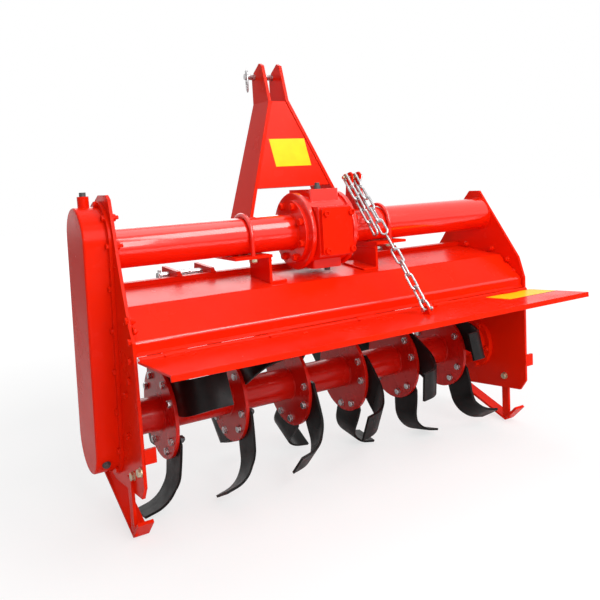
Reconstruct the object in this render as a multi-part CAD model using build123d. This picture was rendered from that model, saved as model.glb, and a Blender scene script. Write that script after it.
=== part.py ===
from build123d import *
from math import atan2, cos, degrees, hypot, radians, sin
import os

# Rotary tiller for a tractor's three-point hitch, in millimetres.
# X runs across the machine, +Y is the direction of travel and +Z is up.
# Shapes are drawn about the point where the input shaft's axis crosses the axis of the main beam,
# and are moved at the end so that the origin is the middle of the shaft's free end.

# Main beam and side plates
beamDia = 102
beamWall = 6
plateLeft = -612
plateRight = 668
plateThick = 8
plateRear = -190

# Rotor
rotorY = 42
rotorZ = -455
rotorTubeDia = 94
rotorTubeWall = 6
flangeCount = 6
flangeFirst = -495
flangePitch = 199
flangeRadius = 125
flangeThick = 10
bladeReach = 258
bladeThick = 7
bladeHoleGap = 57
bladeHoleRadius = 100
bladeStep = 19.5
bladeStart = -47
boltDia = 12
runGap = 0.05

# Gearbox
boxLeft = -72
boxRight = 80
boxRadius = 103
boxFlangeRadius = 111
boxRingThick = 15
beamFlangeRadius = 91
beamFlangeThick = 11
padHalf = 48
padTop = 118
padFoot = -108
coverY = -128
coverWide = 100
coverHigh = 132
ptoDia = 35
ptoTip = 244
ptoShoulder = 166
ptoSeat = (ptoShoulder + ptoTip) / 2
capY = 150
capRadius = 54

# Gear case on the left plate
caseThick = 65
caseWall = 8
caseTopZ = 24
caseFootY = 56
caseFootZ = -494
caseRadius = 84
caseRim = 13

# Mast and hitch
mastGap = 52
mastPlate = 10
topPinDia = 19
topPinY = 248
topPinZ = 475
kneeZ = 391
kneeRear = 164
kneeFront = 266
footZ = -20
footX = 190
footRear = 56
footFront = 190
webFootZ = 128
lowerPinDia = 22
lowerPinX = 334
lowerPinY = 178
lowerPinZ = -106
earGap = 90
earThick = 12

# Deck and tail board
deckThick = 5
deckFrontY = 128
deckFrontZ = -116
creaseY = -90
creaseZ = -138
railY = 100
railZ = -103
hingeY = -197
hingeZ = -243
hingeDia = 10
boardThick = 5
boardChord = 226
boardLeft = -616
boardRight = 676
boardTilt = 4
knuckles = 5
knuckleLong = 60

# Saddle brackets between beam and deck
saddleX = 178
saddleWide = 112
saddleFoot = 44
saddleRear = -58
saddleFront = 60
saddleThick = 8
boltX = 233
boltWire = 12

# Skids
skidZ = -708
skidY = -94
skidThick = 8
skidWide = 40
soleFrontY = 192
soleFrontZ = -606

# Chain
chainWire = 7.5
chainWide = 27
chainLinks = 10
tailLinks = 5
chainSlack = 0.1
hangX = 168
hangY = 19
hangZ = 146
hangGap = 24
pinRadius = 5
eyeOut = 94
eyeUp = 19.6
shackleWire = 8
shackleHalf = 12
shackleReach = 30


def block(x0, x1, y0, y1, z0, z1):
    size = (x1 - x0, y1 - y0, z1 - z0)
    middle = ((x0 + x1) / 2, (y0 + y1) / 2, (z0 + z1) / 2)
    return Pos(*middle) * Box(*size)


def rodX(x0, x1, y, z, radius):
    return Pos((x0 + x1) / 2, y, z) * Rot(0, 90, 0) * Cylinder(radius, x1 - x0)


def rodY(x, y0, y1, z, radius):
    return Pos(x, (y0 + y1) / 2, z) * Rot(90, 0, 0) * Cylinder(radius, y1 - y0)


def rodZ(x, y, z0, z1, radius):
    return Pos(x, y, (z0 + z1) / 2) * Cylinder(radius, z1 - z0)


# A flat piece cut to an outline of Y and Z, thick along X
def plateX(points, x0, x1):
    face = make_face(Plane.YZ * Polyline(*points, close=True))
    return Pos(x0, 0, 0) * extrude(face, amount=x1 - x0, dir=(1, 0, 0))


# A bent sheet: the run of points is thickened to both sides and carried along X
def sheetX(points, thick, x0, x1, bend=8):
    line = FilletPolyline(*points, radius=bend)
    strip = make_face(Plane.YZ * offset(line, thick / 2, kind=Kind.INTERSECTION))
    return Pos(x0, 0, 0) * extrude(strip, amount=x1 - x0, dir=(1, 0, 0))


nodes = {}

# Main beam: a tube each side of the gearbox, with a bolting flange
outer = beamDia / 2
for name, face, end, side in (
    ("beam_left", boxLeft, plateLeft, -1),
    ("beam_right", boxRight, plateRight, 1),
):
    x0, x1 = sorted((face, end))
    tube = rodX(x0, x1, 0, 0, outer)
    f0, f1 = sorted((face, face + side * beamFlangeThick))
    tube += rodX(f0, f1, 0, 0, beamFlangeRadius)
    bore = rodX(x0 - 1, x1 + 1, 0, 0, outer - beamWall)
    nodes[name] = tube - bore

# Gearbox housing: a round barrel between two rings, with pads above and below and a neck to the front
body = rodX(boxLeft, boxRight, 0, 0, boxRadius)
for face, inner in ((boxLeft, boxLeft + boxRingThick), (boxRight - boxRingThick, boxRight)):
    ring = rodX(face, inner, 0, 0, boxFlangeRadius)
    body += fillet(ring.edges().filter_by(GeomType.CIRCLE), 4)
middle = (boxLeft + boxRight) / 2
coverX = -1
body += block(coverX - coverWide / 2 - 4, coverX + coverWide / 2 + 4, coverY + 12, 0, -coverHigh / 2 - 4, coverHigh / 2 + 4)
body += rodY(0, 0, capY, 0, capRadius)
for z0, z1 in ((0, padTop), (padFoot, 0)):
    pad = block(middle - padHalf, middle + padHalf, -62, 62, z0, z1)
    body += fillet(pad.edges().filter_by(Axis.Z), 8)
body -= rodY(0, 60, capY + 5, 0, ptoDia / 2 + 10)
nodes["gearbox_housing"] = body

cover = block(coverX - coverWide / 2, coverX + coverWide / 2, coverY, coverY + 12, -coverHigh / 2, coverHigh / 2)
nodes["gearbox_cover"] = fillet(cover.edges().filter_by(Axis.Y), 10)

cap = rodY(0, capY, capY + 14, 0, capRadius)
cap -= rodY(0, capY - 1, capY + 15, 0, ptoDia / 2 + 4)
nodes["input_cap"] = cap

# Input shaft: a journal in the housing and the end that takes the drive shaft
inputShaft = rodY(0, 62, ptoShoulder, 0, ptoDia / 2 + 2.5)
inputShaft += rodY(0, ptoShoulder, ptoTip, 0, ptoDia / 2)
nodes["pto_shaft"] = inputShaft

breather = rodZ(-13, -50, padTop, padTop + 10, 9)
breather += rodZ(-13, -50, padTop + 10, padTop + 18, 7)
drain = rodZ(14, -40, padFoot - 10, padFoot, 9)
nodes["gearbox_plugs"] = Compound(children=[breather, drain])

# Mast: two bent side plates that spread downwards, joined by a web
mastTop = mastGap / 2 + mastPlate / 2


def slopeAt(z, low, high):
    return low + (high - low) * (z - footZ) / (kneeZ - footZ)


masts = []
spread = footX - mastTop
tilt = degrees(atan2(spread, kneeZ - footZ))
legLong = hypot(spread, kneeZ - footZ)
for side in (-1, 1):
    ear = plateX(
        [(kneeRear, kneeZ - 4), (kneeFront, kneeZ - 4), (kneeFront, kneeZ + 88), (kneeFront - 52, kneeZ + 120),
         (kneeRear + 34, kneeZ + 112)],
        mastGap / 2, mastGap / 2 + mastPlate,
    )
    ear -= rodX(0, 80, topPinY, topPinZ, topPinDia / 2 + 0.25)
    leg = plateX(
        [(kneeRear, 0), (kneeFront, 0), (footFront, -legLong), (footRear, -legLong)],
        -mastPlate / 2, mastPlate / 2,
    )
    leg = Pos(mastTop, 0, kneeZ) * Rot(0, -tilt, 0) * leg
    leg -= rodX(100, 260, 0, 0, outer + 0.5)
    half = ear + leg
    masts.append(half if side > 0 else mirror(half, about=Plane.YZ))
nodes["mast_plates"] = Compound(children=masts)

webTopX = mastTop - mastPlate / 2 - 1.5
webFootX = mastTop + (footX - mastTop) * (kneeZ - webFootZ) / (kneeZ - footZ) - mastPlate / 2 - 1.5
webBack = kneeRear - slopeAt(webFootZ, footRear, kneeRear)
webLean = degrees(atan2(webBack, kneeZ - webFootZ))
webLong = hypot(webBack, kneeZ - webFootZ)
webFace = make_face(
    Plane.XZ * Polyline((-webTopX, 0), (webTopX, 0), (webFootX, -webLong), (-webFootX, -webLong), close=True)
)
web = extrude(webFace, amount=mastPlate * 0.8, dir=(0, 1, 0))
nodes["mast_web"] = Pos(0, kneeRear + 3, kneeZ) * Rot(-webLean, 0, 0) * web

pinEnd = mastGap / 2 + mastPlate
pin = rodX(-pinEnd - 34, pinEnd + 6, topPinY, topPinZ, topPinDia / 2)
pin += rodX(pinEnd + 0.5, pinEnd + 10, topPinY, topPinZ, topPinDia / 2 + 7)
nodes["top_pin"] = pin


# Height of the deck's flat part at a given Y
def deckTop(y):
    rise = (deckFrontZ - creaseZ) / (deckFrontY - creaseY)
    return creaseZ + rise * (y - creaseY) + deckThick / 2


# Saddle brackets: a flange under the beam, an upright web and a foot on the deck
boltY = outer + boltWire / 2 + 1.5
saddleTop = -outer - 0.3
bolts = []
for side in (-1, 1):
    x = side * boltX
    bow = Pos(x, 0, 0) * Rot(0, 90, 0) * Torus(boltY, boltWire / 2)
    bow = bow & block(x - 20, x + 20, -80, 80, 0, 80)
    for y in (-boltY, boltY):
        bow += rodZ(x, y, saddleTop - saddleThick - 12, 0, boltWire / 2)
        bow += rodZ(x, y, saddleTop - saddleThick - 9, saddleTop - saddleThick, 10)
    bolts.append(bow)
nodes["u_bolts"] = Compound(children=bolts)

for name, side in (("saddle_left", -1), ("saddle_right", 1)):
    web0, web1 = sorted((side * saddleX, side * (saddleX + saddleThick)))
    top0, top1 = sorted((side * saddleX, side * (saddleX + saddleWide)))
    foot0, foot1 = sorted((side * (saddleX - saddleFoot), side * saddleX))
    rearZ = deckTop(saddleRear) + 0.1
    frontZ = deckTop(saddleFront) + 0.1
    saddle = block(top0, top1, saddleRear - 8, saddleFront + 8, saddleTop - saddleThick, saddleTop)
    saddle += plateX(
        [(saddleRear, saddleTop - 2), (saddleFront, saddleTop - 2), (saddleFront, frontZ), (saddleRear, rearZ)],
        web0, web1,
    )
    saddle += plateX(
        [(saddleRear, rearZ), (saddleFront, frontZ), (saddleFront, frontZ + 6), (saddleRear, rearZ + 6)],
        foot0, foot1,
    )
    for y in (-boltY, boltY):
        saddle -= rodZ(side * boltX, y, saddleTop - 30, saddleTop + 20, boltWire / 2 + 0.5)
    for y in (-boltY, boltY):
        saddle -= rodZ(side * boltX, y, saddleTop - 40, saddleTop - saddleThick + 0.05, 10.2)
    nodes[name] = saddle

# Deck: a bent sheet from the front edge down to the board's hinge, with an angle bar along its front
deckLine = [(deckFrontY, deckFrontZ), (creaseY, creaseZ), (-160, -213), (-182, -236)]
nodes["deck"] = sheetX(deckLine, deckThick, plateLeft, plateRight)

railFoot = deckTop(railY) + 0.2
rail = plateX(
    [(railY, railFoot), (railY + 4, deckTop(railY + 4) + 0.2), (railY + 4, railZ - 4),
     (deckFrontY, railZ - 4), (deckFrontY, railZ), (railY, railZ)],
    plateLeft, plateRight,
)
nodes["deck_rail"] = rail

# Side plates, each with a small stop at its rear edge
rightLine = [(-4, 77), (42, 77), (64, 54), (205, -118), (232, -200), (232, -480), (180, -590), (105, -612),
             (-166, -583), (plateRear, -548), (plateRear, -204), (-168, -140)]
leftLine = [(-94, 88), (-84, 124), (-66, 135), (0, 135), (26, 125), (80, 92), (205, -100), (232, -200), (232, -480),
            (180, -590), (60, -612), (-166, -583), (plateRear, -548), (plateRear, -204), (-166, -165), (-133, -63),
            (-116, -5)]
rightSide = plateX(rightLine, plateRight, plateRight + plateThick)
rightSide += block(plateRight, plateRight + 34, plateRear - 2, plateRear + 6, -500, -462)
leftSide = plateX(leftLine, plateLeft - plateThick, plateLeft)
leftSide += block(plateLeft - 2, plateLeft + 27, plateRear - 2, plateRear + 6, -492, -456)
leftSide -= rodX(plateLeft - 20, plateLeft + 10, 0, 0, outer - beamWall)
leftSide -= rodX(plateLeft - 20, plateLeft + 10, rotorY, rotorZ, rotorTubeDia / 2 + 8)
rightSide -= rodX(plateRight - 10, plateRight + 20, rotorY, rotorZ, 30)
nodes["side_plate_left"] = leftSide
nodes["side_plate_right"] = rightSide

# Gear case: a deep hollow pan with round ends, leaning forward, bolted to the left plate by its rim
caseX = plateLeft - plateThick


def caseOutline(grow):
    top = Pos(0, caseTopZ) * Circle(caseRadius + grow)
    foot = Pos(caseFootY, caseFootZ) * Circle(caseRadius + grow)
    return Plane.YZ * make_hull(top.edges() + foot.edges())


pan = extrude(caseOutline(0), amount=-caseThick)
lid = pan.faces().sort_by(Axis.X)[0]
pan = fillet(lid.edges(), 5)
pan += extrude(caseOutline(caseRim), amount=-8)
pan -= extrude(caseOutline(-caseWall), amount=-(caseThick - caseWall))
boss = rodZ(-caseThick / 2, 16, caseTopZ + caseRadius - 8, caseTopZ + caseRadius + 26, 14)
boss -= rodX(-caseThick, 0, 0, caseTopZ, caseRadius - 4)
pan += boss
nodes["gear_case"] = Pos(caseX, 0, 0) * pan
breatherZ = caseTopZ + caseRadius + 26
nodes["case_breather"] = rodZ(caseX - caseThick / 2, 16, breatherZ, breatherZ + 10, 8)

# Lower hitch: a pair of ears each side with a stepped pin between them
for name, side in (("lower_hitch_left", -1), ("lower_hitch_right", 1)):
    pair = []
    for edge in (-earGap / 2 - earThick, earGap / 2):
        x = side * lowerPinX + edge
        ear = plateX(
            [(railY, railZ + 0.2), (deckFrontY + 3.5, railZ + 0.2), (deckFrontY + 3.5, -132), (212, -134),
             (236, -118), (230, -84), (110, -90)],
            x, x + earThick,
        )
        ear -= rodX(x - 5, x + earThick + 5, lowerPinY, lowerPinZ, lowerPinDia / 2 + 0.25)
        pair.append(ear)
    nodes[name] = Compound(children=pair)
pins = []
for side in (-1, 1):
    x = side * lowerPinX
    reach = earGap / 2 + earThick
    lowerPin = rodX(x - reach - 34, x + reach + 12, lowerPinY, lowerPinZ, lowerPinDia / 2)
    lowerPin += rodX(x - earGap / 2 + 0.5, x + 8, lowerPinY, lowerPinZ, lowerPinDia / 2 + 3.5)
    pins.append(lowerPin)
nodes["lower_pins"] = Compound(children=pins)

# Skids: a flat sole bent up at the rear, with an upright strut and a front lug on the plate
run = soleFrontY - skidY
rise = soleFrontZ - skidZ
for name, face, x0 in (
    ("skid_left", plateLeft - plateThick - 8, plateLeft - 17),
    ("skid_right", plateRight + plateThick, plateRight + 4),
):
    x1 = x0 + skidWide
    sole = plateX(
        [(skidY, skidZ), (soleFrontY, soleFrontZ), (soleFrontY, soleFrontZ + skidThick), (skidY, skidZ + skidThick)],
        x0, x1,
    )
    tail = plateX(
        [(skidY, skidZ), (skidY - 50, skidZ + 50), (skidY - 44, skidZ + 56), (skidY, skidZ + skidThick + 3)],
        x0, x1,
    )
    strut = block(face, face + 8, skidY - 14, skidY + 14, skidZ + 12, -552)
    bar = sole + tail + strut
    bar += block(face, face + 8, skidY - 14, skidY + 6, skidZ + 8, skidZ + 40)
    lug = plateX([(152, -613), (soleFrontY, soleFrontZ + 6), (soleFrontY, -570), (160, -560)], face, face + 8)
    nodes[name] = bar + lug

# Right bearing of the rotor
housing = rodX(plateRight - 46, plateRight, rotorY, rotorZ, 70)
housing += rodX(plateRight - 16, plateRight, rotorY, rotorZ, 90)
housing -= rodX(plateRight - 50, plateRight + 1, rotorY, rotorZ, 26)
nodes["rotor_bearing"] = housing

# Rotor: a tube with round flanges, each carrying four blades
rotorLeft = plateLeft + 14
rotorRight = plateRight - 54
tube = rodX(rotorLeft, rotorRight, rotorY, rotorZ, rotorTubeDia / 2)
tube -= rodX(rotorLeft - 1, rotorRight + 1, rotorY, rotorZ, rotorTubeDia / 2 - rotorTubeWall)
tube += rodX(rotorLeft, rotorLeft + 12, rotorY, rotorZ, rotorTubeDia / 2)
tube += rodX(rotorRight - 12, plateRight - 2, rotorY, rotorZ, 22)
tube += rodX(rotorRight - 12, rotorRight, rotorY, rotorZ, rotorTubeDia / 2)
disc = Circle(flangeRadius) - Circle(rotorTubeDia / 2 - 1)
for corner in range(4):
    for away in (-1, 1):
        hole = Pos(bladeHoleRadius, away * bladeHoleGap / 2) * Circle(boltDia / 2)
        disc -= Rot(0, 0, 90 * corner) * hole
flange = extrude(Plane.YZ * disc, amount=flangeThick)

# One blade: flat at its holes, swept back, its outer part bent to the left (-1) or to the right (1)
bladeSweep = {-1: 35, 1: 19}
bendRadius = 84
bendAngle = 78
lipLong = 30
bladeWide = 88
bendAt = 162


def bladeShape(side):
    inner = bendRadius + bladeThick / 2
    short = bendRadius - bladeThick / 2
    a = radians(bendAngle)
    h = a / 2
    p2 = (bladeThick / 2, bendAt)
    p3 = (bendRadius - short * cos(a), bendAt + short * sin(a))
    p4 = (p3[0] + lipLong * sin(a), p3[1] + lipLong * cos(a))
    p7 = (-bladeThick / 2, bendAt)
    p6 = (bendRadius - inner * cos(a), bendAt + inner * sin(a))
    p5 = (p6[0] + lipLong * sin(a), p6[1] + lipLong * cos(a))
    m1 = (bendRadius - short * cos(h), bendAt + short * sin(h))
    m2 = (bendRadius - inner * cos(h), bendAt + inner * sin(h))
    root0 = (-bladeThick / 2, 0)
    root1 = (bladeThick / 2, 0)
    edges = [
        Line(root0, root1), Line(root1, p2), ThreePointArc(p2, m1, p3), Line(p3, p4),
        Line(p4, p5), Line(p5, p6), ThreePointArc(p6, m2, p7), Line(p7, root0),
    ]
    strip = extrude(Plane.XZ * make_face(edges), amount=270, both=True)
    half = bladeWide / 2
    lean = radians(bladeSweep[side] - 90)
    heel, toe, back = [
        (out * cos(lean) + along * sin(lean), along * cos(lean) - out * sin(lean))
        for out, along in ((74, -46), (124, -46), (74, 46))
    ]
    neck = 205
    frontMid = ((toe[0] + half) / 2 + 5, (toe[1] + neck) / 2)
    backMid = ((back[0] - half) / 2 - 5, (back[1] + neck) / 2)
    swept = make_face([
        Line(heel, toe),
        ThreePointArc(toe, frontMid, (half, neck)),
        Line((half, neck), (half - 6, bladeReach)),
        Line((half - 6, bladeReach), (-half, bladeReach)),
        Line((-half, bladeReach), (-half, neck)),
        ThreePointArc((-half, neck), backMid, back),
        Line(back, heel),
    ])
    blade = strip & extrude(Plane.YZ * swept, amount=200, both=True)
    blade = Rot(bladeSweep[side] - 90, 0, 0) * blade
    for away in (-1, 1):
        blade -= rodX(-20, 20, bladeHoleRadius, away * bladeHoleGap / 2, boltDia / 2 + 0.3)
    if side < 0:
        blade = mirror(blade, about=Plane.YZ)
    return blade


shapes = {side: bladeShape(side) for side in (-1, 1)}
blades = {-1: [], 1: []}
for k in range(flangeCount):
    x = flangeFirst + k * flangePitch
    phase = bladeStep * k + bladeStart
    tube += Pos(x, rotorY, rotorZ) * Rot(-phase, 0, 0) * flange
    for corner in range(4):
        side = -1 if corner % 2 == 0 else 1
        seat = x + flangeThick + bladeThick / 2
        turn = 180 - phase + 90 * corner
        blades[side].append(Pos(seat, rotorY, rotorZ) * Rot(turn, 0, 0) * shapes[side])
nodes["rotor"] = tube
nodes["blades_left"] = Compound(children=blades[-1])
nodes["blades_right"] = Compound(children=blades[1])

# Tail board: a sheet on a hinge rod, its rear edge folded down, raised by the chain
board = block(boardLeft, boardRight, -boardChord, -9, -boardThick, 0)
board += block(boardLeft, boardRight, -boardChord, -boardChord + boardThick, -14, 0)
board += rodX(plateLeft + 2, plateRight - 2, 0, 0, 7.5)
for k in range(knuckles):
    x = plateLeft + knuckleLong + k * (plateRight - plateLeft - 3 * knuckleLong) / (knuckles - 1)
    board += rodX(x, x + knuckleLong, 0, 0, 9) + block(x, x + knuckleLong, -20, 0, -boardThick, 3)
board -= rodX(boardLeft - 5, boardRight + 5, 0, 0, hingeDia / 2 + runGap)
nodes["tail_board"] = Pos(0, hingeY, hingeZ) * Rot(-boardTilt, 0, 0) * board
nodes["hinge_rod"] = rodX(plateLeft, plateRight, hingeY, hingeZ, hingeDia / 2)

# Chain hanger: two ears on the beam with a pin through them
hanger = []
for x0, x1 in ((hangX - hangGap / 2 - 6, hangX - hangGap / 2), (hangX + hangGap / 2, hangX + hangGap / 2 + 6)):
    ear = plateX(
        [(8, hangZ), (10, hangZ + 11), (18, hangZ + 16), (30, hangZ + 13), (37, hangZ), (46, 90), (50, 20),
         (-18, 40), (-2, 84), (11, hangZ - 28)],
        x0, x1,
    )
    ear -= rodX(x0 - 1, x1 + 1, 0, 0, outer + 0.2)
    ear -= rodX(x0 - 1, x1 + 1, hangY, hangZ, pinRadius + 0.2)
    hanger.append(ear)
nodes["chain_hanger"] = Compound(children=hanger)
nodes["hanger_pin"] = rodX(hangX - 44, hangX + 26, hangY, hangZ, pinRadius)

# Chain: its pitch follows from the run between the hanger's pin and the shackle's pin
eyeY = hingeY - eyeOut
eyeZ = hingeZ + eyeUp
runY = eyeY - hangY
runZ = eyeZ - hangZ
chainRun = hypot(runY, runZ)
chainLean = degrees(atan2(-runY, -runZ))
pinSeat = pinRadius + 0.3
bowSeat = shackleReach - shackleWire / 2 - 0.3
openGap = 2 * chainWire + 1
chainPitch = (chainRun + pinSeat - bowSeat - openGap) / chainLinks
turnStep = 100


# A link as a long ring of round wire, its long side along Z, lying flat in YZ
def chainLink():
    bend = (chainWide - chainWire) / 2
    straight = chainPitch - chainSlack + chainWire - 2 * bend
    path = Line((-bend, -straight / 2), (-bend, straight / 2))
    path += RadiusArc((-bend, straight / 2), (bend, straight / 2), bend)
    path += Line((bend, straight / 2), (bend, -straight / 2))
    path += RadiusArc((bend, -straight / 2), (-bend, -straight / 2), bend)
    section = Plane(origin=(-bend, 0, 0), z_dir=(0, 0, 1)) * Circle(chainWire / 2)
    return Rot(0, 0, 90) * sweep(section, path=Plane.XZ * path)


# Sets a piece on the chain's line, so far below the hanger's pin
def onChain(piece, below, x=hangX):
    return Pos(x, hangY, hangZ) * Rot(-chainLean, 0, 0) * Pos(0, 0, -below) * piece


oneLink = chainLink()
strands = {"chain_upper": [], "chain_lower": []}
half = chainLinks // 2
for n in range(chainLinks):
    below = chainPitch / 2 - pinSeat + n * chainPitch
    if n >= half:
        below += openGap
    link = onChain(Rot(0, 0, turnStep * n) * oneLink, below)
    strands["chain_upper" if n < half else "chain_lower"].append(link)
for n in range(tailLinks):
    below = chainPitch / 2 - pinSeat + n * chainPitch
    strands["chain_upper"].append(onChain(Rot(0, 0, 90 * n) * oneLink, below, hangX - 33))
for name, links in strands.items():
    nodes[name] = Compound(children=links)

# Shackle at the chain's foot, its pin through a lug on the board
bowZ = shackleReach - shackleHalf
bow = Rot(90, 0, 0) * Torus(shackleHalf, shackleWire / 2)
bow = Pos(0, 0, bowZ) * (bow & block(-30, 30, -30, 30, 0, 30))
for side in (-1, 1):
    bow += rodZ(side * shackleHalf, 0, 0, bowZ, shackleWire / 2)
    bow += rodX(side * 14.5 - 3, side * 14.5 + 3, 0, 0, 6.5)
bow += rodX(-16, 16, 0, 0, shackleWire / 2)
nodes["chain_shackle"] = onChain(bow, chainRun)

lugHalf = 3
lug = plateX([(-15, -13), (15, -13), (9, 4), (4, 9), (-4, 9), (-9, 4)], -lugHalf, lugHalf)
lug -= rodX(-10, 10, 0, 0, shackleWire / 2 + 0.3)
nodes["chain_eye"] = Pos(hangX, eyeY, eyeZ) * Rot(-boardTilt, 0, 0) * lug

os.makedirs("parts", exist_ok=True)
for name, shape in nodes.items():
    export_step(Pos(0, -ptoSeat, 0) * shape, f"parts/{name}.step")
    print(name, round(shape.volume / 1000), "cm3")
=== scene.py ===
import math
import bpy
import numpy as np
from mathutils import Matrix


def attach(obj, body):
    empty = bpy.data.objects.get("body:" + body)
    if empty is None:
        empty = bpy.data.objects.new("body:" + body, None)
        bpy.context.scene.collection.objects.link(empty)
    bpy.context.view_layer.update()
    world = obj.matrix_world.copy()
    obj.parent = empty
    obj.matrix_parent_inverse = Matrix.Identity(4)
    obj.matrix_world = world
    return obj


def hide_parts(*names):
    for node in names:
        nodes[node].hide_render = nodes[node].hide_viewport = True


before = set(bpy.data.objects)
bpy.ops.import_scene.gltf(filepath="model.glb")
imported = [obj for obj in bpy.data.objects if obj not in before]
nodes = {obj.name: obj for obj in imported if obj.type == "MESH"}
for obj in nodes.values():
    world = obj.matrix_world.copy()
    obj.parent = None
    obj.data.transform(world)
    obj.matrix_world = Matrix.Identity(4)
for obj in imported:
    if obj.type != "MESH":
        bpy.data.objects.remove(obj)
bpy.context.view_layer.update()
print("frame loaded with", len(nodes), "nodes")

# Places below are in plan millimetres, taken from the point where the input
# shaft's axis crosses the beam's axis. The frame's origin is further ahead.
plan = {
    "seat": 205.0, "floor": -714.0,
    "leftOut": -620, "leftIn": -612, "rightIn": 668,  # faces of the side plates
    "rotorAxis": (42, -455),
}


# plan millimetres to frame metres: Y less the seat, then everything by 1000
def toFrame(points):
    points = np.array(points, float)
    return (points - np.array([0.0, plan["seat"], 0.0])) / 1000.0


# Stands a camera or a lamp at a place; both look against their back direction
def stand(holder, right, up, back, place):
    rows = np.eye(4)
    rows[:3] = np.column_stack([right, up, back, place])
    holder.matrix_world = Matrix(rows.tolist())


# Camera, from the photograph's own perspective

cameraSet = {
    "place": (-1059.6, -1697.6, 142.3),
    "yaw": 30.57, "pitch": 6.24, "roll": -3.17,
    "focal": 682.75, "middle": (298.66, 256.11), "picture": 600,  # in pixels
}


# Camera axes from yaw, pitch and roll: forward = (sin yaw cos pitch, cos yaw
# cos pitch, -sin pitch), right level with the ground, both turned by the roll
def makeCamera(setting):
    yaw, pitch, roll = (math.radians(setting[k]) for k in ("yaw", "pitch", "roll"))
    level = math.cos(pitch)
    forward = np.array([math.sin(yaw) * level, math.cos(yaw) * level, -math.sin(pitch)])
    right = np.array([math.cos(yaw), -math.sin(yaw), 0.0])
    up = np.cross(right, forward)
    c, s = math.cos(roll), math.sin(roll)
    right, up = right * c + up * s, up * c - right * s
    data = bpy.data.cameras.new("camera")
    data.sensor_width = 36.0
    data.lens = setting["focal"] / setting["picture"] * data.sensor_width
    data.shift_x = 0.5 - setting["middle"][0] / setting["picture"]
    data.shift_y = setting["middle"][1] / setting["picture"] - 0.5
    data.clip_start, data.clip_end = 0.05, 60.0
    camera = bpy.data.objects.new("camera", data)
    bpy.context.scene.collection.objects.link(camera)
    stand(camera, right, up, -forward, toFrame(setting["place"]))
    bpy.context.scene.camera = camera
    return camera


makeCamera(cameraSet)
bpy.context.scene.view_settings.view_transform = "Standard"
print("camera placed")


# Materials

class Nodes:
    def __init__(self, name):
        self.material = bpy.data.materials.new(name)
        self.material.use_nodes = True
        self.tree = self.material.node_tree
        self.shader = self.tree.nodes["Principled BSDF"]

    def put(self, socket, value):
        if isinstance(value, bpy.types.NodeSocket):
            self.tree.links.new(value, socket)
        else:
            socket.default_value = value

    def add(self, kind, inputs=None, **settings):
        node = self.tree.nodes.new(kind)
        for key, value in settings.items():
            setattr(node, key, value)
        for key, value in (inputs or {}).items():
            self.put(node.inputs[key], value)
        return node

    def set(self, **values):
        for key, value in values.items():
            self.put(self.shader.inputs[key.replace("_", " ")], value)


# Grain of a given size in metres, read from Object coordinates
def grain(tree, size, detail=3.0, stretch=(1, 1, 1)):
    place = tree.add("ShaderNodeTexCoord").outputs["Object"]
    place = tree.add("ShaderNodeMapping", {"Vector": place, "Scale": stretch}).outputs["Vector"]
    noise = tree.add("ShaderNodeTexNoise", {"Vector": place, "Scale": 1.0 / size, "Detail": detail})
    return noise.outputs["Fac"]


# Value moved from the grain's middle band to the range given
def spread(tree, value, low, high, fromLow=0.3, fromHigh=0.7):
    settings = {"Value": value, "From Min": fromLow, "From Max": fromHigh, "To Min": low, "To Max": high}
    return tree.add("ShaderNodeMapRange", settings).outputs["Result"]


# Edges rounded in the shading by a radius in metres
def softEdge(tree, radius):
    return tree.add("ShaderNodeBevel", {"Radius": radius}, samples=4).outputs["Normal"]


# Relief in the shading, over the normal that is there already
def relief(tree, height, distance, strength, normal=None):
    inputs = {"Height": height, "Distance": distance, "Strength": strength}
    if normal is not None:
        inputs["Normal"] = normal
    return tree.add("ShaderNodeBump", inputs).outputs["Normal"]


def mixColour(tree, share, first, second):
    node = tree.add("ShaderNodeMix", data_type="RGBA")
    for socket, value in ((node.inputs[0], share), (node.inputs[6], first), (node.inputs[7], second)):
        tree.put(socket, value)
    return node.outputs[2]


def rgb(red, green, blue):
    return (red, green, blue, 1.0)


# Sprayed gloss paint: slow drift in the red, fine peel in the lacquer, a
# softened edge, and dust that dulls patches of the gloss
def glossPaint(name, colour, deep, rough=0.2, coat=0.15, level=0.3, peel=0.05, edge=0.0022):
    tree = Nodes(name)
    drift = spread(tree, grain(tree, 0.32, 4.0), 0.0, 1.0)
    tint = mixColour(tree, drift, rgb(*colour), rgb(*deep))
    speck = spread(tree, grain(tree, 0.012, 6.0), 0.0, 0.16, 0.58, 0.82)
    tint = mixColour(tree, speck, tint, rgb(colour[0] * 0.7, colour[1] + 0.03, colour[2] + 0.03))
    patches = spread(tree, grain(tree, 0.09, 6.0), rough * 0.75, rough * 1.35)
    rounded = softEdge(tree, edge)
    fine = grain(tree, 0.0035, 2.0)
    slow = grain(tree, 0.05, 2.0)
    wavy = relief(tree, slow, 0.0012, 0.12, rounded)
    tree.set(Base_Color=tint, Roughness=patches, Normal=relief(tree, fine, 0.0002, peel, wavy))
    tree.set(Coat_Weight=coat, Coat_Roughness=0.05, Specular_IOR_Level=level)
    return tree.material


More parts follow.
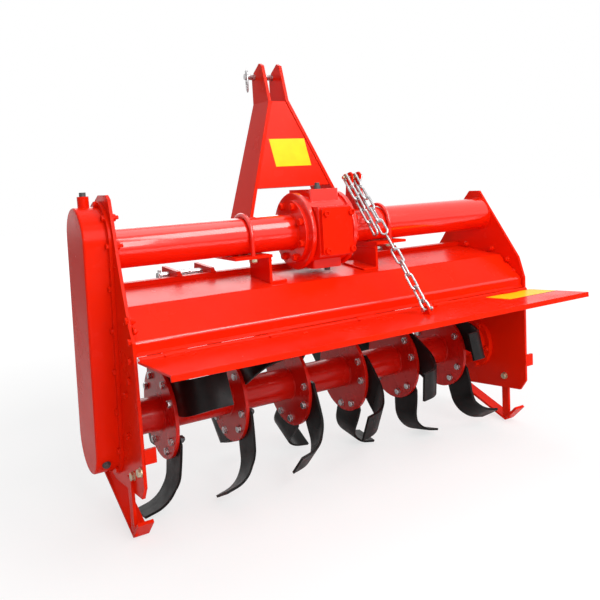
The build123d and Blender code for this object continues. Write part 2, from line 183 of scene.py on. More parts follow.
# Forged blade: near black, a mill scale mottle, and lighter edges, partly paint rubbed thin there and partly
# a painted highlight along them
def bladeBlack(name):
    tree = Nodes(name)
    scale = spread(tree, grain(tree, 0.02, 8.0), 0.0, 1.0)
    tint = mixColour(tree, scale, rgb(0.004, 0.004, 0.004), rgb(0.009, 0.008, 0.008))
    rounded = softEdge(tree, 0.0016)
    straight = tree.add("ShaderNodeNewGeometry").outputs["Normal"]
    facing = tree.add("ShaderNodeVectorMath", {0: rounded, 1: straight}, operation="DOT_PRODUCT")
    # Edges turn grey where the rounded normal leaves the face's own: rubbed paint together with a painted
    # highlight
    rubbedAndHighlit = spread(tree, facing.outputs["Value"], 0.55, 0.0, 0.86, 0.99)
    tint = mixColour(tree, rubbedAndHighlit, tint, rgb(0.10, 0.095, 0.09))
    pitted = relief(tree, grain(tree, 0.004, 5.0), 0.0003, 0.35, rounded)
    tree.set(Base_Color=tint, Roughness=spread(tree, grain(tree, 0.03, 5.0), 0.26, 0.45))
    tree.set(Normal=pitted, Specular_IOR_Level=0.15)
    return tree.material


# Plated steel: pale metal with the cloudy bloom of zinc and a faint warm tint
def zincPlate(name, colour, bloom, rough=0.3):
    tree = Nodes(name)
    cloud = spread(tree, grain(tree, 0.009, 5.0), 0.0, 1.0)
    tint = mixColour(tree, cloud, rgb(*colour), rgb(*bloom))
    crystals = relief(tree, grain(tree, 0.0015, 4.0), 0.0001, 0.3)
    tree.set(Base_Color=tint, Roughness=spread(tree, grain(tree, 0.005, 3.0), rough * 0.7, rough * 1.4))
    tree.set(Normal=crystals, Metallic=0.9)
    return tree.material


# Turned steel: fine rings round the shaft, so the grain is drawn out along X and Z
def turnedSteel(name):
    tree = Nodes(name)
    lines = grain(tree, 0.0012, 2.0, (0.05, 1.0, 0.05))
    tint = mixColour(tree, spread(tree, lines, 0.0, 1.0), rgb(0.42, 0.42, 0.43), rgb(0.58, 0.57, 0.55))
    tree.set(Base_Color=tint, Roughness=0.32, Metallic=1.0, Normal=relief(tree, lines, 0.0001, 0.4))
    return tree.material


# Moulded cap: matt dark grey with a fine moulded grain
def mouldedGrey(name):
    tree = Nodes(name)
    cloud = spread(tree, grain(tree, 0.01, 4.0), 0.0, 1.0)
    tint = mixColour(tree, cloud, rgb(0.05, 0.05, 0.052), rgb(0.085, 0.083, 0.08))
    tree.set(Base_Color=tint, Roughness=0.5, Normal=relief(tree, grain(tree, 0.0012, 2.0), 0.0002, 0.4))
    return tree.material


# Vinyl label: flat yellow with a slight fade and a soft sheen
def labelVinyl(name):
    tree = Nodes(name)
    fade = spread(tree, grain(tree, 0.03, 4.0), 0.0, 1.0)
    tint = mixColour(tree, fade, rgb(0.93, 0.68, 0.008), rgb(0.88, 0.60, 0.006))
    waves = relief(tree, grain(tree, 0.02, 2.0), 0.0003, 0.2)
    tree.set(Base_Color=tint, Roughness=0.35, Specular_IOR_Level=0.12, Normal=waves)
    return tree.material


# The two colours are the ends of each paint's drift. The sheet metal's own reflection
# is kept low, so that flat faces stay red where they are seen edge on
redPaint = glossPaint("red paint", (0.86, 0.017, 0.0015), (0.78, 0.012, 0.0015),
                      rough=0.22, coat=0.0, level=0.07)
tubePaint = glossPaint("tube paint", (0.86, 0.015, 0.0015), (0.78, 0.011, 0.0015),
                       rough=0.17, coat=0.6, level=0.5)
# The rotor's paint is the same red made darker: painted shade for the rotor, which lies in the deck's shadow
shadedRotorPaint = glossPaint("rotor red darkened as painted shade", (0.68, 0.010, 0.004), (0.54, 0.007, 0.003),
                        rough=0.24, coat=0.1, level=0.25)
blackPaint = bladeBlack("blade black")
zinc = zincPlate("bright zinc", (0.40, 0.39, 0.40), (0.62, 0.61, 0.61), 0.24)
yellowZinc = zincPlate("yellow zinc", (0.48, 0.42, 0.27), (0.66, 0.60, 0.44), 0.28)
shaftSteel = turnedSteel("turned steel")
plugGrey = mouldedGrey("moulded grey")
darkSteel = zincPlate("dark steel", (0.09, 0.09, 0.10), (0.16, 0.16, 0.17), 0.35)
labelYellow = labelVinyl("label vinyl")

finishes = {
    "zinc": (zinc, ("chain_upper", "chain_lower", "chain_shackle", "lower_pins", "top_pin")),
    "yellow zinc": (yellowZinc, ("hanger_pin",)),
    "turned": (shaftSteel, ("pto_shaft", "hinge_rod")),
    "black": (blackPaint, ("blades_left", "blades_right")),
    "grey": (plugGrey, ("gearbox_plugs", "case_breather")),
    # The rotor takes the red darkened as painted shade
    "rotor": (shadedRotorPaint, ("rotor",)),
    "tube": (tubePaint, ("beam_left", "beam_right", "u_bolts", "gearbox_housing")),
}
for node in nodes.values():
    node.data.materials.clear()
    node.data.materials.append(redPaint)
for material, names in finishes.values():
    for name in names:
        nodes[name].data.materials[0] = material
print("materials set on", len(nodes), "nodes")


# How a piece is made

# Turns vertices and faces into a piece that rides on a body
def makePiece(name, vertices, faces, material, body, slot, smooth=30.0):
    mesh = bpy.data.meshes.new(name)
    mesh.from_pydata(toFrame(vertices).tolist(), [], faces)
    mesh.validate()
    mesh.materials.append(material)
    mesh.shade_smooth()
    mesh.set_sharp_from_angle(angle=math.radians(smooth))
    piece = bpy.data.objects.new(name, mesh)
    bpy.context.scene.collection.objects.link(piece)
    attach(piece, body)
    return piece


# Quads between neighbouring points of a grid; a closed direction joins its end to its start
def gridFaces(rows, columns, closedRows=False, closedColumns=True):
    i = np.arange(rows if closedRows else rows - 1)
    j = np.arange(columns if closedColumns else columns - 1)
    i, j = (a.ravel() for a in np.meshgrid(i, j, indexing="ij"))
    i1, j1 = (i + 1) % rows, (j + 1) % columns
    return np.stack([i * columns + j, i * columns + j1, i1 * columns + j1, i1 * columns + j], 1)


# The two faces that close a tube of rings: the first ring's, turned over, and the last ring's
def endFaces(rows, columns):
    last = (rows - 1) * columns
    return [list(range(columns))[::-1], [last + k for k in range(columns)]]


# The same shape set at many places: each place is a 3 by 4 matrix of directions and an origin
def repeat(vertices, faces, places):
    places = np.array(places, float)
    moved = np.einsum("nij,vj->nvi", places[:, :, :3], vertices) + places[:, None, :, 3]
    shift = np.arange(len(places)) * len(vertices)
    many = (np.array(faces)[None] + shift[:, None, None]).reshape(-1, np.array(faces).shape[1])
    return moved.reshape(-1, 3), many.tolist()


# A place whose local Z runs along an axis, turned about it by an angle
def placeAt(origin, axis, turn=0.0):
    z = np.array(axis, float) / np.linalg.norm(axis)
    side = np.array([0.0, 0.0, 1.0]) if abs(z[2]) < 0.9 else np.array([0.0, 1.0, 0.0])
    x = np.cross(side, z)
    x /= np.linalg.norm(x)
    y = np.cross(z, x)
    c, s = math.cos(turn), math.sin(turn)
    return np.column_stack([x * c + y * s, y * c - x * s, z, np.array(origin, float)])


# Rings of points round local Z: x = r cos a, y = r sin a at each ring's height
def ringPoints(rings, turn):
    points = [np.column_stack([r * np.cos(turn), r * np.sin(turn), np.full(len(turn), z)]) for r, z in rings]
    return np.concatenate(points)


# Angle from each point of a ring to the middle of the hexagon's nearest flat
def fromFlat(turn):
    return np.abs((turn + math.pi / 6) % (math.pi / 3) - math.pi / 6)


# Points round a head, the shares at which its chamfer starts and ends, and the
# chamfer in millimetres at a screw's end
headShape = {"around": 12, "chamferFrom": 0.82, "chamferTop": 0.47, "endChamfer": 0.8}


# Hexagon head on a round washer, in rings whose distance from the axis is
# flat / (2 cos a), with a the angle to the nearest flat's middle, cut by a chamfer circle
def hexHead(flat, height, washer=0.0, washerThick=0.0, stub=0.0, stubLong=0.0):
    around, chamfer = headShape["around"], headShape["endChamfer"]
    turn = np.arange(around) * 2 * math.pi / around
    hexagon = flat / 2 / np.cos(fromFlat(turn))
    ones = np.ones(around)
    base = washerThick if washer else 0.0
    top = base + height
    rings = []
    if washer:
        rings += [(ones * washer, 0.0), (ones * washer, washerThick)]
    rings += [(hexagon, base), (hexagon, base + height * headShape["chamferFrom"])]
    rings += [(ones * flat * headShape["chamferTop"], top)]
    if stub:
        end = top + stubLong
        rings += [(ones * stub, top), (ones * stub, end - chamfer), (ones * (stub - chamfer), end)]
    return ringPoints(rings, turn), gridFaces(len(rings), around), len(rings)


# Sets a head at each place and closes its first and last ring with one flat face each
def headsAt(heads, places, around=headShape["around"]):
    vertices, faces, rings = heads
    moved, many = repeat(vertices, faces, places)
    shift = np.arange(len(places))[:, None] * len(vertices)
    for end in endFaces(rings, around):
        many += (np.array(end)[None] + shift).tolist()
    return moved, many


# A bundle of shapes made into one list of vertices and faces
def joined(shapes):
    vertices, faces, start = [], [], 0
    for v, f in shapes:
        vertices.append(v)
        faces += [[i + start for i in face] for face in f]
        start += len(v)
    return np.concatenate(vertices), faces


# Round wire carried along a path: at each point a circle lies across the path's direction,
# started from a fixed guide that no path here runs along; its radius is a list or one number
def carried(path, radius, around=10, closed=False):
    path = np.array(path, float)
    count = len(path)
    if closed:
        along = np.roll(path, -1, 0) - np.roll(path, 1, 0)
    else:
        along = np.gradient(path, axis=0)
    along /= np.linalg.norm(along, axis=1)[:, None]
    guide = np.array([0.31, 0.17, 0.94])
    first = np.cross(along, guide)
    first /= np.linalg.norm(first, axis=1)[:, None]
    second = np.cross(along, first)
    radius = np.broadcast_to(np.array(radius, float), (count,))
    turn = np.arange(around) * 2 * math.pi / around
    ring = first[:, None] * np.cos(turn)[None, :, None] + second[:, None] * np.sin(turn)[None, :, None]
    points = path[:, None] + ring * radius[:, None, None]
    faces = gridFaces(count, around, closedRows=closed).tolist()
    if not closed:
        faces += endFaces(count, around)
    return points.reshape(-1, 3), faces


# Drop is the length of one drop of weld, step the distance between rings of points
beadShape = {
    "drop": 3.4, "step": 1.7, "roundStep": 1.9, "around": 8,
    "low": 0.9, "swell": 0.2, "end": 0.5,
}


# Weld bead: a thick wire along the seam whose radius rises and falls once for each
# drop of the weld, r (0.9 + 0.2 |sin|), with slow wandering from a fixed sum of sines
def bead(start, end, radius):
    start, end = np.array(start, float), np.array(end, float)
    long = np.linalg.norm(end - start)
    count = max(8, int(long / beadShape["step"]))
    t = np.linspace(0, 1, count)
    wave = np.abs(np.sin(math.pi * t * long / beadShape["drop"]))
    wander = 0.08 * np.sin(t * long * 0.21) + 0.05 * np.sin(t * long * 0.53 + 1.3)
    size = radius * (beadShape["low"] + beadShape["swell"] * wave + wander)
    size[[0, -1]] *= beadShape["end"]
    return carried(start + (end - start) * t[:, None], size, beadShape["around"])


# The same bead round a circle: centre, axis along X, radius of the seam
def beadRound(x, y, z, ring, radius):
    long = 2 * math.pi * ring
    count = int(long / beadShape["roundStep"])
    t = np.arange(count) / count
    a = t * 2 * math.pi
    wave = np.abs(np.sin(math.pi * t * round(long / beadShape["drop"])))
    size = radius * (beadShape["low"] + beadShape["swell"] * wave + 0.07 * np.sin(a * 5))
    path = np.column_stack([np.full(count, x), y + ring * np.cos(a), z + ring * np.sin(a)])
    return carried(path, size, beadShape["around"], closed=True)


def boltsOf(name, body, material, slot, groups):
    vertices, faces = joined([headsAt(head, places) for head, places in groups])
    return makePiece(name, vertices, faces, material, body, slot)


# Bolts. Each head and nut is its width over the flats and its height, then the washer's
# radius and thickness, then the radius and length of the screw's end. No two stand at
# quite the same turn

rotorBolts = {
    "first": -495, "pitch": 199, "count": 6,
    "start": -47, "step": 19.5, "ring": 100, "gap": 57, "through": 17,
    "head": (18, 8, 10.5, 0.8), "nut": (19, 10, 12.5, 2.4, 5.8, 4),
}


# Two bolts a blade: at the blade's own angle, ring out from the axis and half the gap to either side
def rotorPlaces(setting):
    heads, nuts = [], []
    axisY, axisZ = plan["rotorAxis"]
    ring, gap = setting["ring"], setting["gap"]
    for k in range(setting["count"]):
        x = setting["first"] + k * setting["pitch"]
        for corner in range(4):
            a = math.radians(180 - setting["start"] - setting["step"] * k + 90 * corner)
            for side in (-0.5, 0.5):
                y = axisY + ring * math.cos(a) - side * gap * math.sin(a)
                z = axisZ + ring * math.sin(a) + side * gap * math.cos(a)
                heads.append(placeAt((x, y, z), (-1, 0, 0), k + corner + side))
                nuts.append(placeAt((x + setting["through"], y, z), (1, 0, 0), 2 * k + corner))
    return heads, nuts


bladeHeads, bladeNuts = rotorPlaces(rotorBolts)
boltsOf("blade_bolts", "rotor", zinc, "zinc", [(hexHead(*rotorBolts["head"]), bladeHeads)])
boltsOf("blade_nuts", "rotor", darkSteel, "blade black", [(hexHead(*rotorBolts["nut"]), bladeNuts)])

rimBolts = {
    "x": -628, "radius": 90.5, "top": (0, 24), "foot": (56, -494), "turn": 0.4,
    "head": (13, 5.3, 8, 1.6), "nut": (17, 9, 11, 2.2, 5, 7),
    "nutsAbove": -30, "nutsBehind": 60,  # nuts show inside the plate only at the case's head
}


# Bolt places round the case: two half circles and the straight runs between them
def rimPlaces(setting):
    (y0, z0), (y1, z1), r = setting["top"], setting["foot"], setting["radius"]
    lean = math.atan2(z1 - z0, y1 - y0) + math.pi / 2
    found = []
    for k in range(5):
        a = lean + math.pi * k / 4
        found.append((y0 + r * math.cos(a), z0 + r * math.sin(a)))
        found.append((y1 - r * math.cos(a), z1 - r * math.sin(a)))
    for side in (-1, 1):
        for k in range(1, 5):
            t = k / 5
            y, z = y0 + (y1 - y0) * t, z0 + (z1 - z0) * t
            found.append((y + side * r * math.cos(lean), z + side * r * math.sin(lean)))
    return found


rimFound = rimPlaces(rimBolts)
rimHeads = [placeAt((rimBolts["x"], y, z), (-1, 0, 0), rimBolts["turn"] * k)
            for k, (y, z) in enumerate(rimFound)]
rimNuts = [placeAt((plan["leftIn"], y, z), (1, 0, 0), y) for y, z in rimFound
           if z > rimBolts["nutsAbove"] and y < rimBolts["nutsBehind"]]
boltsOf("rim_bolts", "frame", redPaint, "red paint", [
    (hexHead(*rimBolts["head"]), rimHeads),
    (hexHead(*rimBolts["nut"]), rimNuts),
])

# Places are Y and Z; a deck bolt shows its nut inside the plate
plateBolts = {
    "left": ((-170, -153), (-178, -202), (-166, -248), (-148, -300), (-112, -342), (-104, -446),
             (200, -240), (206, -360), (196, -470), (100, -585)),
    "deckLeft": ((-172, -179), (-156, -159), (-60, -117), (60, -109)),
    "deckRight": ((-126, -150), (-150, -187), (-60, -117), (60, -109)),
    "head": (15, 6, 9, 1.8), "nut": (15, 7, 10, 2, 4.5, 4),
}
plateHeads = [placeAt((plan["leftOut"], y, z), (-1, 0, 0), y) for y, z in plateBolts["left"]]
deckNuts = [placeAt((plan["leftIn"], y, z), (1, 0, 0), y) for y, z in plateBolts["deckLeft"]]
deckNuts += [placeAt((plan["rightIn"], y, z), (-1, 0, 0), y) for y, z in plateBolts["deckRight"]]

bearingBolts = {"x": 652, "ring": 80, "count": 6, "start": 0.12, "head": (15, 7, 9.5, 2)}


# Bolt places on a circle round the rotor's axis
def bearingPlaces(setting):
    (y, z), ring = plan["rotorAxis"], setting["ring"]
    angles = setting["start"] + 2 * math.pi * np.arange(setting["count"]) / setting["count"]
    return [placeAt((setting["x"], y + ring * math.cos(a), z + ring * math.sin(a)), (-1, 0, 0), a)
            for a in angles]


boltsOf("plate_bolts", "frame", redPaint, "red paint", [
    (hexHead(*plateBolts["head"]), plateHeads),
    (hexHead(*plateBolts["nut"]), deckNuts),
    (hexHead(*bearingBolts["head"]), bearingPlaces(bearingBolts)),
])

beamBolts = {"ring": 78, "count": 8, "faces": ((-83, -1), (91, 1)), "head": (18, 10, 12, 2.2)}
beamPlaces = []
for face, side in beamBolts["faces"]:
    for k in range(beamBolts["count"]):
        a = 2 * math.pi * (k + 0.5) / beamBolts["count"]
        spot = (face, beamBolts["ring"] * math.cos(a), beamBolts["ring"] * math.sin(a))
        beamPlaces.append(placeAt(spot, (side, 0, 0), k))
boltsOf("beam_bolts", "frame", redPaint, "red paint", [(hexHead(*beamBolts["head"]), beamPlaces)])

# Nuts on the legs of the bent bolts: they have no washer, only the screw's end
gripNuts = {"x": 233, "y": 58.5, "z": -59.4, "turn": 0.3, "nut": (21.5, 9.6, 0, 0, 6, 3)}
gripPlaces = []
for sx in (-1, 1):
    for sy in (-1, 1):
        spot = (sx * gripNuts["x"], sy * gripNuts["y"], gripNuts["z"])
        gripPlaces.append(placeAt(spot, (0, 0, -1), gripNuts["turn"] * sx))
boltsOf("grip_nuts", "frame", yellowZinc, "zinc", [(hexHead(*gripNuts["nut"]), gripPlaces)])

skidBolts = {
    "left": ((-115, -543), (-176, -513), (168, -585)), "right": ((-102, -549), (168, -583)),
    "head": (19, 8, 12, 2.2),
}
skidPlaces = [placeAt((plan["leftOut"], y, z), (-1, 0, 0), y) for y, z in skidBolts["left"]]
skidPlaces += [placeAt((plan["rightIn"], y, z), (-1, 0, 0), y) for y, z in skidBolts["right"]]
boltsOf("skid_bolts", "frame", yellowZinc, "zinc", [(hexHead(*skidBolts["head"]), skidPlaces)])
print("bolts made")


# Gearbox details

# A key is half the key hole's width over its flats
coverScrews = {"x": (-38, 45), "z": (-53, 50), "y": -128, "radius": 9, "deep": 8, "key": 4.4}
capScrews = {"ring": 44, "y": 164, "count": 6, "radius": 6, "deep": 6, "key": 2.6}
screwShape = {"around": 24, "rimDeep": 1.2, "rimWide": 1, "keyChamfer": 0.6, "keyDeep": 4}


# Cap screw: the radius rises from the seat, turns over the rim and goes down into the
# key hole, whose radius is key / cos a, with a the angle to the nearest flat's middle
def capScrew(setting):
    around, chamfer = screwShape["around"], screwShape["keyChamfer"]
    turn = np.arange(around) * 2 * math.pi / around
    hexagon = setting["key"] / np.cos(fromFlat(turn))
    r, top, ones = setting["radius"], setting["deep"], np.ones(around)
    rings = [(ones * r, 0), (ones * r, top - screwShape["rimDeep"])]
    rings += [(ones * (r - screwShape["rimWide"]), top), (hexagon + chamfer, top)]
    rings += [(hexagon, top - chamfer), (hexagon, top - screwShape["keyDeep"])]
    return ringPoints(rings, turn), gridFaces(len(rings), around), len(rings)


coverPlaces = [placeAt((x, coverScrews["y"], z), (0, -1, 0), x)
               for x in coverScrews["x"] for z in coverScrews["z"]]
capPlaces = []
for a in 2 * math.pi * (np.arange(capScrews["count"]) + 0.5) / capScrews["count"]:
    spot = (capScrews["ring"] * math.cos(a), capScrews["y"], capScrews["ring"] * math.sin(a))
    capPlaces.append(placeAt(spot, (0, 1, 0), a))
screws = [headsAt(capScrew(coverScrews), coverPlaces, screwShape["around"]),
          headsAt(capScrew(capScrews), capPlaces, screwShape["around"])]
makePiece("cover_screws", *joined(screws), redPaint, "frame", "red paint")

# The ring is the middle of the groove that a yoke's balls snap into
spline = {
    "start": 62, "shoulder": 166, "tip": 244, "journal": 20, "journalChamfer": (2, 0.9),
    "radius": 17.5, "root": 14.6, "plain": 6, "runOut": 12, "tipChamfer": (3, 2.3),
    "teeth": 6, "crest": 0.24, "flank": 0.05, "around": 96, "between": (190, 205),
    "ring": 221, "neck": 14.9, "neckHalf": 2.5, "neckSlope": (5, 0.7), "neckEdge": 5.5,
}


# The shaft's profile in rows of Y, radius, and 1 where the teeth are cut
def splineRows(s):
    r, shoulder, ring, neck = s["radius"], s["shoulder"], s["ring"], s["neck"]
    slope, rise = s["neckSlope"]
    plain = [(s["start"], s["journal"]), (shoulder - s["journalChamfer"][0], s["journal"])]
    plain += [(shoulder, s["journal"] - s["journalChamfer"][1]), (shoulder, r), (shoulder + s["plain"], r)]
    toothed = [(shoulder + s["runOut"], r)] + [(y, r) for y in s["between"]]
    toothed += [(ring - s["neckEdge"], r), (ring - slope, neck + rise), (ring - s["neckHalf"], neck)]
    toothed += [(ring + s["neckHalf"], neck), (ring + slope, neck + rise), (ring + s["neckEdge"], r)]
    toothed += [(s["tip"] - s["tipChamfer"][0], r), (s["tip"], r - s["tipChamfer"][1])]
    return [(y, radius, 0) for y, radius in plain] + [(y, radius, 1) for y, radius in toothed]


# Splined shaft end about the line x = 0, z = 0: r(a, y) = root + (radius - root) tooth(a), where
# tooth is 1 over the crest of each of six teeth and 0 in the gaps, with steep flanks
def splinedShaft(setting):
    rows = splineRows(setting)
    around, root = setting["around"], setting["root"]
    turn = np.arange(around) * 2 * math.pi / around
    away = np.abs((turn * setting["teeth"] / (2 * math.pi)) % 1 - 0.5)
    tooth = np.clip((away - setting["crest"]) / setting["flank"], 0, 1)
    y, r, cut = (np.array(c, float)[:, None] for c in zip(*rows))
    reach = np.where(cut > 0, np.minimum(r, root + (r - root) * tooth[None]), r)
    points = np.stack([reach * np.cos(turn), np.broadcast_to(y, reach.shape), reach * np.sin(turn)], 2)
    faces = gridFaces(len(rows), around)[:, ::-1].tolist()
    faces += [face[::-1] for face in endFaces(len(rows), around)]
    return points.reshape(-1, 3), faces


splinePiece = makePiece("splined_shaft", *splinedShaft(spline), shaftSteel, "input_shaft", "shaft steel")
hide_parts("pto_shaft")

casePlug = {"at": (-660, -17, -537), "axis": (0, -0.865, -0.5), "head": (16, 5, 11, 2.5)}
plugPlaces = [placeAt(casePlug["at"], casePlug["axis"])]
boltsOf("case_plug", "frame", plugGrey, "plug grey", [(hexHead(*casePlug["head"]), plugPlaces)])
print("gearbox details made")


# Welds. Rings round the rotor's tube stand at both faces of each flange, and rings round the
# beam at the side plates and at the beam's own flanges

welds = {
    "rotorRing": 47.5, "flangeThick": 10, "beamRing": 51.5, "beamAt": (-611, -83, 91, 667),
    "ringSize": 3.2, "smooth": 60,
}
# Seams that stand on both sides, with X turned round for the left one: start, end, bead radius
pairSeams = {
    "mast cheek": ((30, 167, 386), (129, 101, 132), 2.4),
    "saddle top": ((178, -58, -69), (178, 58, -69), 2.4),
    "saddle foot": ((178, -58, -134), (178, 58, -123), 2.6),
    "saddle inside": ((134, -58, -128.5), (134, 58, -117), 2.6),
}
earSeams = {"x": 334, "edges": (-57, -45, 45, 57), "y": (101, 131), "z": -101.5, "size": 2.4}
railSeam = {"x": (-610, 666), "y": 98.6, "z": -126.5, "size": 2.2}

rotorWelds = []
for k in range(rotorBolts["count"]):
    for x in (0, welds["flangeThick"]):
        seam = rotorBolts["first"] + k * rotorBolts["pitch"] + x
        rotorWelds.append(beadRound(seam, *plan["rotorAxis"], welds["rotorRing"], welds["ringSize"]))
# The rotor's welds take the same red darkened as painted shade
makePiece("rotor_welds", *joined(rotorWelds), shadedRotorPaint, "rotor", "red paint", welds["smooth"])

frameWelds = [beadRound(x, 0, 0, welds["beamRing"], welds["ringSize"]) for x in welds["beamAt"]]
for side in (-1, 1):
    mirror = np.array([side, 1, 1])
    for start, end, size in pairSeams.values():
        frameWelds.append(bead(np.array(start) * mirror, np.array(end) * mirror, size))
    for edge in earSeams["edges"]:
        x = side * earSeams["x"] + edge
        rear, front = ((x, y, earSeams["z"]) for y in earSeams["y"])
        frameWelds.append(bead(rear, front, earSeams["size"]))
railStart, railEnd = ((x, railSeam["y"], railSeam["z"]) for x in railSeam["x"])
frameWelds.append(bead(railStart, railEnd, railSeam["size"]))
makePiece("frame_welds", *joined(frameWelds), redPaint, "frame", "red paint", welds["smooth"])
print("welds made")


# Deck

# Start, bend and foot are the outer face; inside is the step from the start to the inner face
deckLip = {
    "start": (-92, -135.4), "bend": (-179, -206), "foot": -235, "radius": 9, "thick": 5,
    "inside": (1.5, -4.5), "left": -611, "right": 667, "arc": 10, "across": 24,
}


# Profile of the lip in Y and Z: it leaves the slope at its start, runs to the bend, turns down
# round an arc and comes back inside by the sheet's thickness
def lipProfile(setting):
    (y0, z0), (y1, z1), r = setting["start"], setting["bend"], setting["radius"]
    slope = math.atan2(z0 - z1, y0 - y1)
    reach = r * math.tan((math.pi / 2 - slope) / 2)
    turn = np.linspace(math.pi / 2 + slope, math.pi, setting["arc"])
    middle = (y1 + r, z1 - reach)
    thick = setting["thick"]
    outer = np.column_stack([middle[0] + r * np.cos(turn), middle[1] + r * np.sin(turn)])
    small, back = r - thick, turn[::-1]
    inner = np.column_stack([middle[0] + small * np.cos(back), middle[1] + small * np.sin(back)])
    feet = [(y1, setting["foot"]), (y1 + thick, setting["foot"])]
    last = (y0 + setting["inside"][0], z0 + setting["inside"][1])
    return np.concatenate([[(y0, z0)], outer, feet, inner, [last]])


# Rolled lower edge of the deck: the profile carried along X
def rolledLip(setting):
    profile = lipProfile(setting)
    across = np.linspace(setting["left"], setting["right"], setting["across"])
    points = np.empty((len(across), len(profile), 3))
    points[..., 0] = across[:, None]
    points[..., 1:] = profile[None]
    faces = gridFaces(len(across), len(profile)).tolist() + endFaces(len(across), len(profile))
    return points.reshape(-1, 3), faces


lip = makePiece("deck_lip", *rolledLip(deckLip), redPaint, "frame", "red paint", 20)
lip.data.materials.append(tubePaint)
# The strips between the outer arc's points, next after the slope, take the glossier paint
lipStrip = np.arange(len(lip.data.polygons)) % len(lipProfile(deckLip))
onArc = (lipStrip > 0) & (lipStrip < deckLip["arc"])
lip.data.polygons.foreach_set("material_index", onArc.astype(np.int32))
print("deck lip made")


# Pins, clips and labels

clips = {
    "top": (-63, 248, 475), "lower": (-418, 178, -106), "lowerRight": (250, 178, -106),
    "hanger": (186, 19, 146),
}
# A linch pin's size is its ring's tall and wide half; the peg's rings are height and radius
linch = {
    "wire": 2.6, "lean": 5, "drop": 0.35, "top": (34, 15), "lower": (22, 12),
    "peg": ((-26, 2.5), (-24, 4.2), (-10, 4.2), (10, 4.2), (17, 5.4), (19, 3.0)),
}
hair = {"wire": 2.3, "top": (4, -9, 8), "turn": (-18, -9, -76), "end": (-2, -9, -6), "bow": 5, "belly": 9}


# Linch pin: a peg through the pin's end with a sprung ring over it. Ring: x = lean cos t,
# y = wide cos t, z = tall sin t about its middle, which hangs a little lower than the peg's
def linchPin(place, size):
    x, y, z = place
    tall, wide = size
    t = np.arange(40) * 2 * math.pi / 40
    middle = z - tall * linch["drop"]
    ring = np.column_stack([x + linch["lean"] * np.cos(t), y + wide * np.cos(t), middle + tall * np.sin(t)])
    heights, radii = zip(*linch["peg"])
    peg = [(x, y, z + height) for height in heights]
    return [carried(ring, linch["wire"], 8, closed=True), carried(peg, radii, 12)]


# Sprung clip: a straight leg from top to turn and a leg back to its end, which bows out
# by bow sin(pi t) along X and by belly t (1 - t) along Y
def hairClip(place):
    top, turn, end = (np.array(place, float) + hair[k] for k in ("top", "turn", "end"))
    t = np.linspace(0, 1, 26)[:, None]
    leg = top + (turn - top) * t
    bend = np.hstack([hair["bow"] * np.sin(math.pi * t), hair["belly"] * t * (1 - t), 0 * t])
    back = turn + (end - turn) * t + bend
    return carried(np.concatenate([leg, back[1:]]), hair["wire"], 8)


clipShapes = linchPin(clips["top"], linch["top"])
clipShapes += linchPin(clips["lower"], linch["lower"]) + linchPin(clips["lowerRight"], linch["lower"])
clipShapes.append(hairClip(clips["hanger"]))
makePiece("pin_clips", *joined(clipShapes), zinc, "frame", "zinc", 50)

# Corners: upper left, upper right, lower right, lower left, seen from behind the machine
labels = {
    "mast": ((-58, 136.3, 274), (66, 136.3, 274), (74, 114.2, 190), (-50, 114.2, 190)),
    "board": ((474, -211, -241.8), (671, -211, -241.8), (671, -312, -234.7), (470, -312, -234.7)),
}
labelGrid = {"edge": 0.15, "lift": 0.5, "across": 13, "down": 9}


# Label: a thin sheet between four corners, point(u, v) blended from them. Its outermost points
# stand off the paint by edge along its normal, the others by lift more
def labelSheet(corners, setting):
    a, b, c, d = (np.array(p, float) for p in corners)
    u, v = np.meshgrid(np.linspace(0, 1, setting["across"]), np.linspace(0, 1, setting["down"]))
    u, v = u[..., None], v[..., None]
    points = (a * (1 - u) + b * u) * (1 - v) + (d * (1 - u) + c * u) * v
    normal = np.cross(d - a, b - a)
    normal /= np.linalg.norm(normal)
    inside = (np.minimum(np.minimum(u, 1 - u), np.minimum(v, 1 - v)) > 0).astype(float)
    points = points + normal * (setting["edge"] + setting["lift"] * inside)
    faces = gridFaces(setting["down"], setting["across"], closedColumns=False)[:, ::-1]
    return points.reshape(-1, 3), faces.tolist()


for name, body in (("mast", "frame"), ("board", "tail_board")):
    makePiece(name + "_label", *labelSheet(labels[name], labelGrid), labelYellow, body, "red paint")
print("pins and labels made")


# Floor, light and finish

# In metres. From near to far the floor fades to plain white, so that no horizon shows
floorSet = {"half": 14.0, "near": 1.3, "far": 3.2, "nearShare": 0.62, "glow": 1.12}


def makeFloor(height, setting):
    half = setting["half"]
    mesh = bpy.data.meshes.new("floor")
    corners = [(-half, -half, height), (half, -half, height), (half, half, height), (-half, half, height)]
    mesh.from_pydata(corners, [], [(0, 1, 2, 3)])
    tree = Nodes("pale floor")
    tree.set(Base_Color=rgb(0.82, 0.82, 0.82), Roughness=0.9)
    seen = tree.add("ShaderNodeLightPath").outputs["Is Camera Ray"]
    place = tree.add("ShaderNodeTexCoord").outputs["Object"]
    away = tree.add("ShaderNodeVectorMath", {0: place}, operation="LENGTH").outputs["Value"]
    fade = spread(tree, away, setting["nearShare"], 1.0, setting["near"], setting["far"])
    share = tree.add("ShaderNodeMath", {0: seen, 1: fade}, operation="MULTIPLY").outputs[0]
    glow = tree.add("ShaderNodeEmission", {"Color": rgb(1, 1, 1), "Strength": setting["glow"]}).outputs[0]
    mixed = tree.add("ShaderNodeMixShader", {0: share, 1: tree.shader.outputs[0], 2: glow}).outputs[0]
    tree.put(tree.tree.nodes["Material Output"].inputs["Surface"], mixed)
    mesh.materials.append(tree.material)
    floor = bpy.data.objects.new("floor", mesh)
    bpy.context.scene.collection.objects.link(floor)


makeFloor(plan["floor"] / 1000, floorSet)

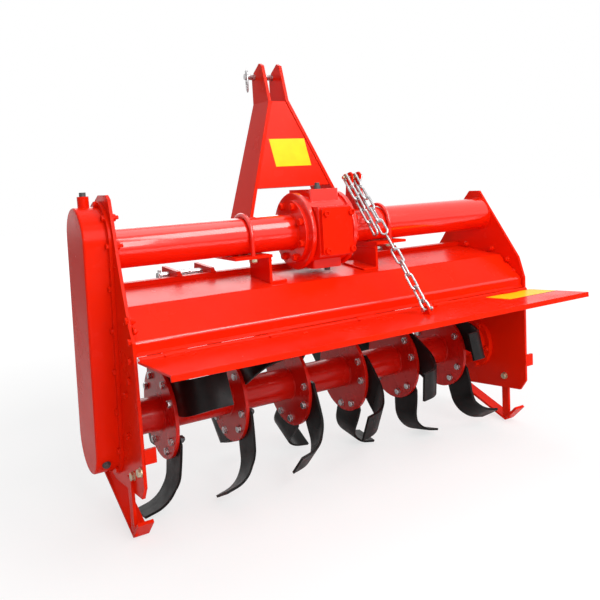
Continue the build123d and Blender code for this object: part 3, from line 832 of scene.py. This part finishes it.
# Places in plan millimetres, power in watts, size in metres
lampSet = {
    "key": {"at": (-250, -3000, 1250), "power": 64, "size": 1.7, "look": (0, 0, -150)},
    "band": {"at": (1150, -1950, 2250), "power": 52, "size": 1.5, "look": (0, 0, 0)},
    "side": {"at": (-2600, -900, 700), "power": 2, "size": 1.8, "look": (0, 0, -200)},
    "top": {"at": (0, 200, 2900), "power": 26, "size": 2.4, "look": (0, 0, 0)},
    "back": {"at": (900, 2600, 1300), "power": 20, "size": 2.0, "look": (0, 0, 0)},
}


def makeLamp(name, lamp):
    light = bpy.data.lights.new(name, "AREA")
    light.energy, light.size = lamp["power"], lamp["size"]
    holder = bpy.data.objects.new(name, light)
    bpy.context.scene.collection.objects.link(holder)
    place, look = toFrame(lamp["at"]), toFrame(lamp["look"])
    back = (place - look) / np.linalg.norm(place - look)
    right = np.cross([0, 0, 1.0], back)
    right /= np.linalg.norm(right)
    stand(holder, right, np.cross(back, right), back, place)


for name, lamp in lampSet.items():
    makeLamp(name, lamp)

worldLight = {"soft": 0.26, "seen": 1.0}  # on the object, and as background and in reflections


def makeWorld(setting):
    world = bpy.data.worlds.new("studio")
    bpy.context.scene.world = world
    world.use_nodes = True
    links, sky = world.node_tree.links, world.node_tree.nodes
    soft = sky["Background"]
    white = sky.new("ShaderNodeBackground")
    for shader, strength in ((soft, setting["soft"]), (white, setting["seen"])):
        shader.inputs["Color"].default_value = rgb(1, 1, 1)
        shader.inputs["Strength"].default_value = strength
    path = sky.new("ShaderNodeLightPath")
    seen = path.outputs["Is Camera Ray"]
    for kind in ("Is Glossy Ray", "Is Transmission Ray"):
        either = sky.new("ShaderNodeMath")
        either.operation = "MAXIMUM"
        links.new(seen, either.inputs[0])
        links.new(path.outputs[kind], either.inputs[1])
        seen = either.outputs[0]
    mix = sky.new("ShaderNodeMixShader")
    for k, output in enumerate((seen, soft.outputs[0], white.outputs[0])):
        links.new(output, mix.inputs[k])
    links.new(mix.outputs[0], sky["World Output"].inputs["Surface"])


makeWorld(worldLight)
print("floor and light set")
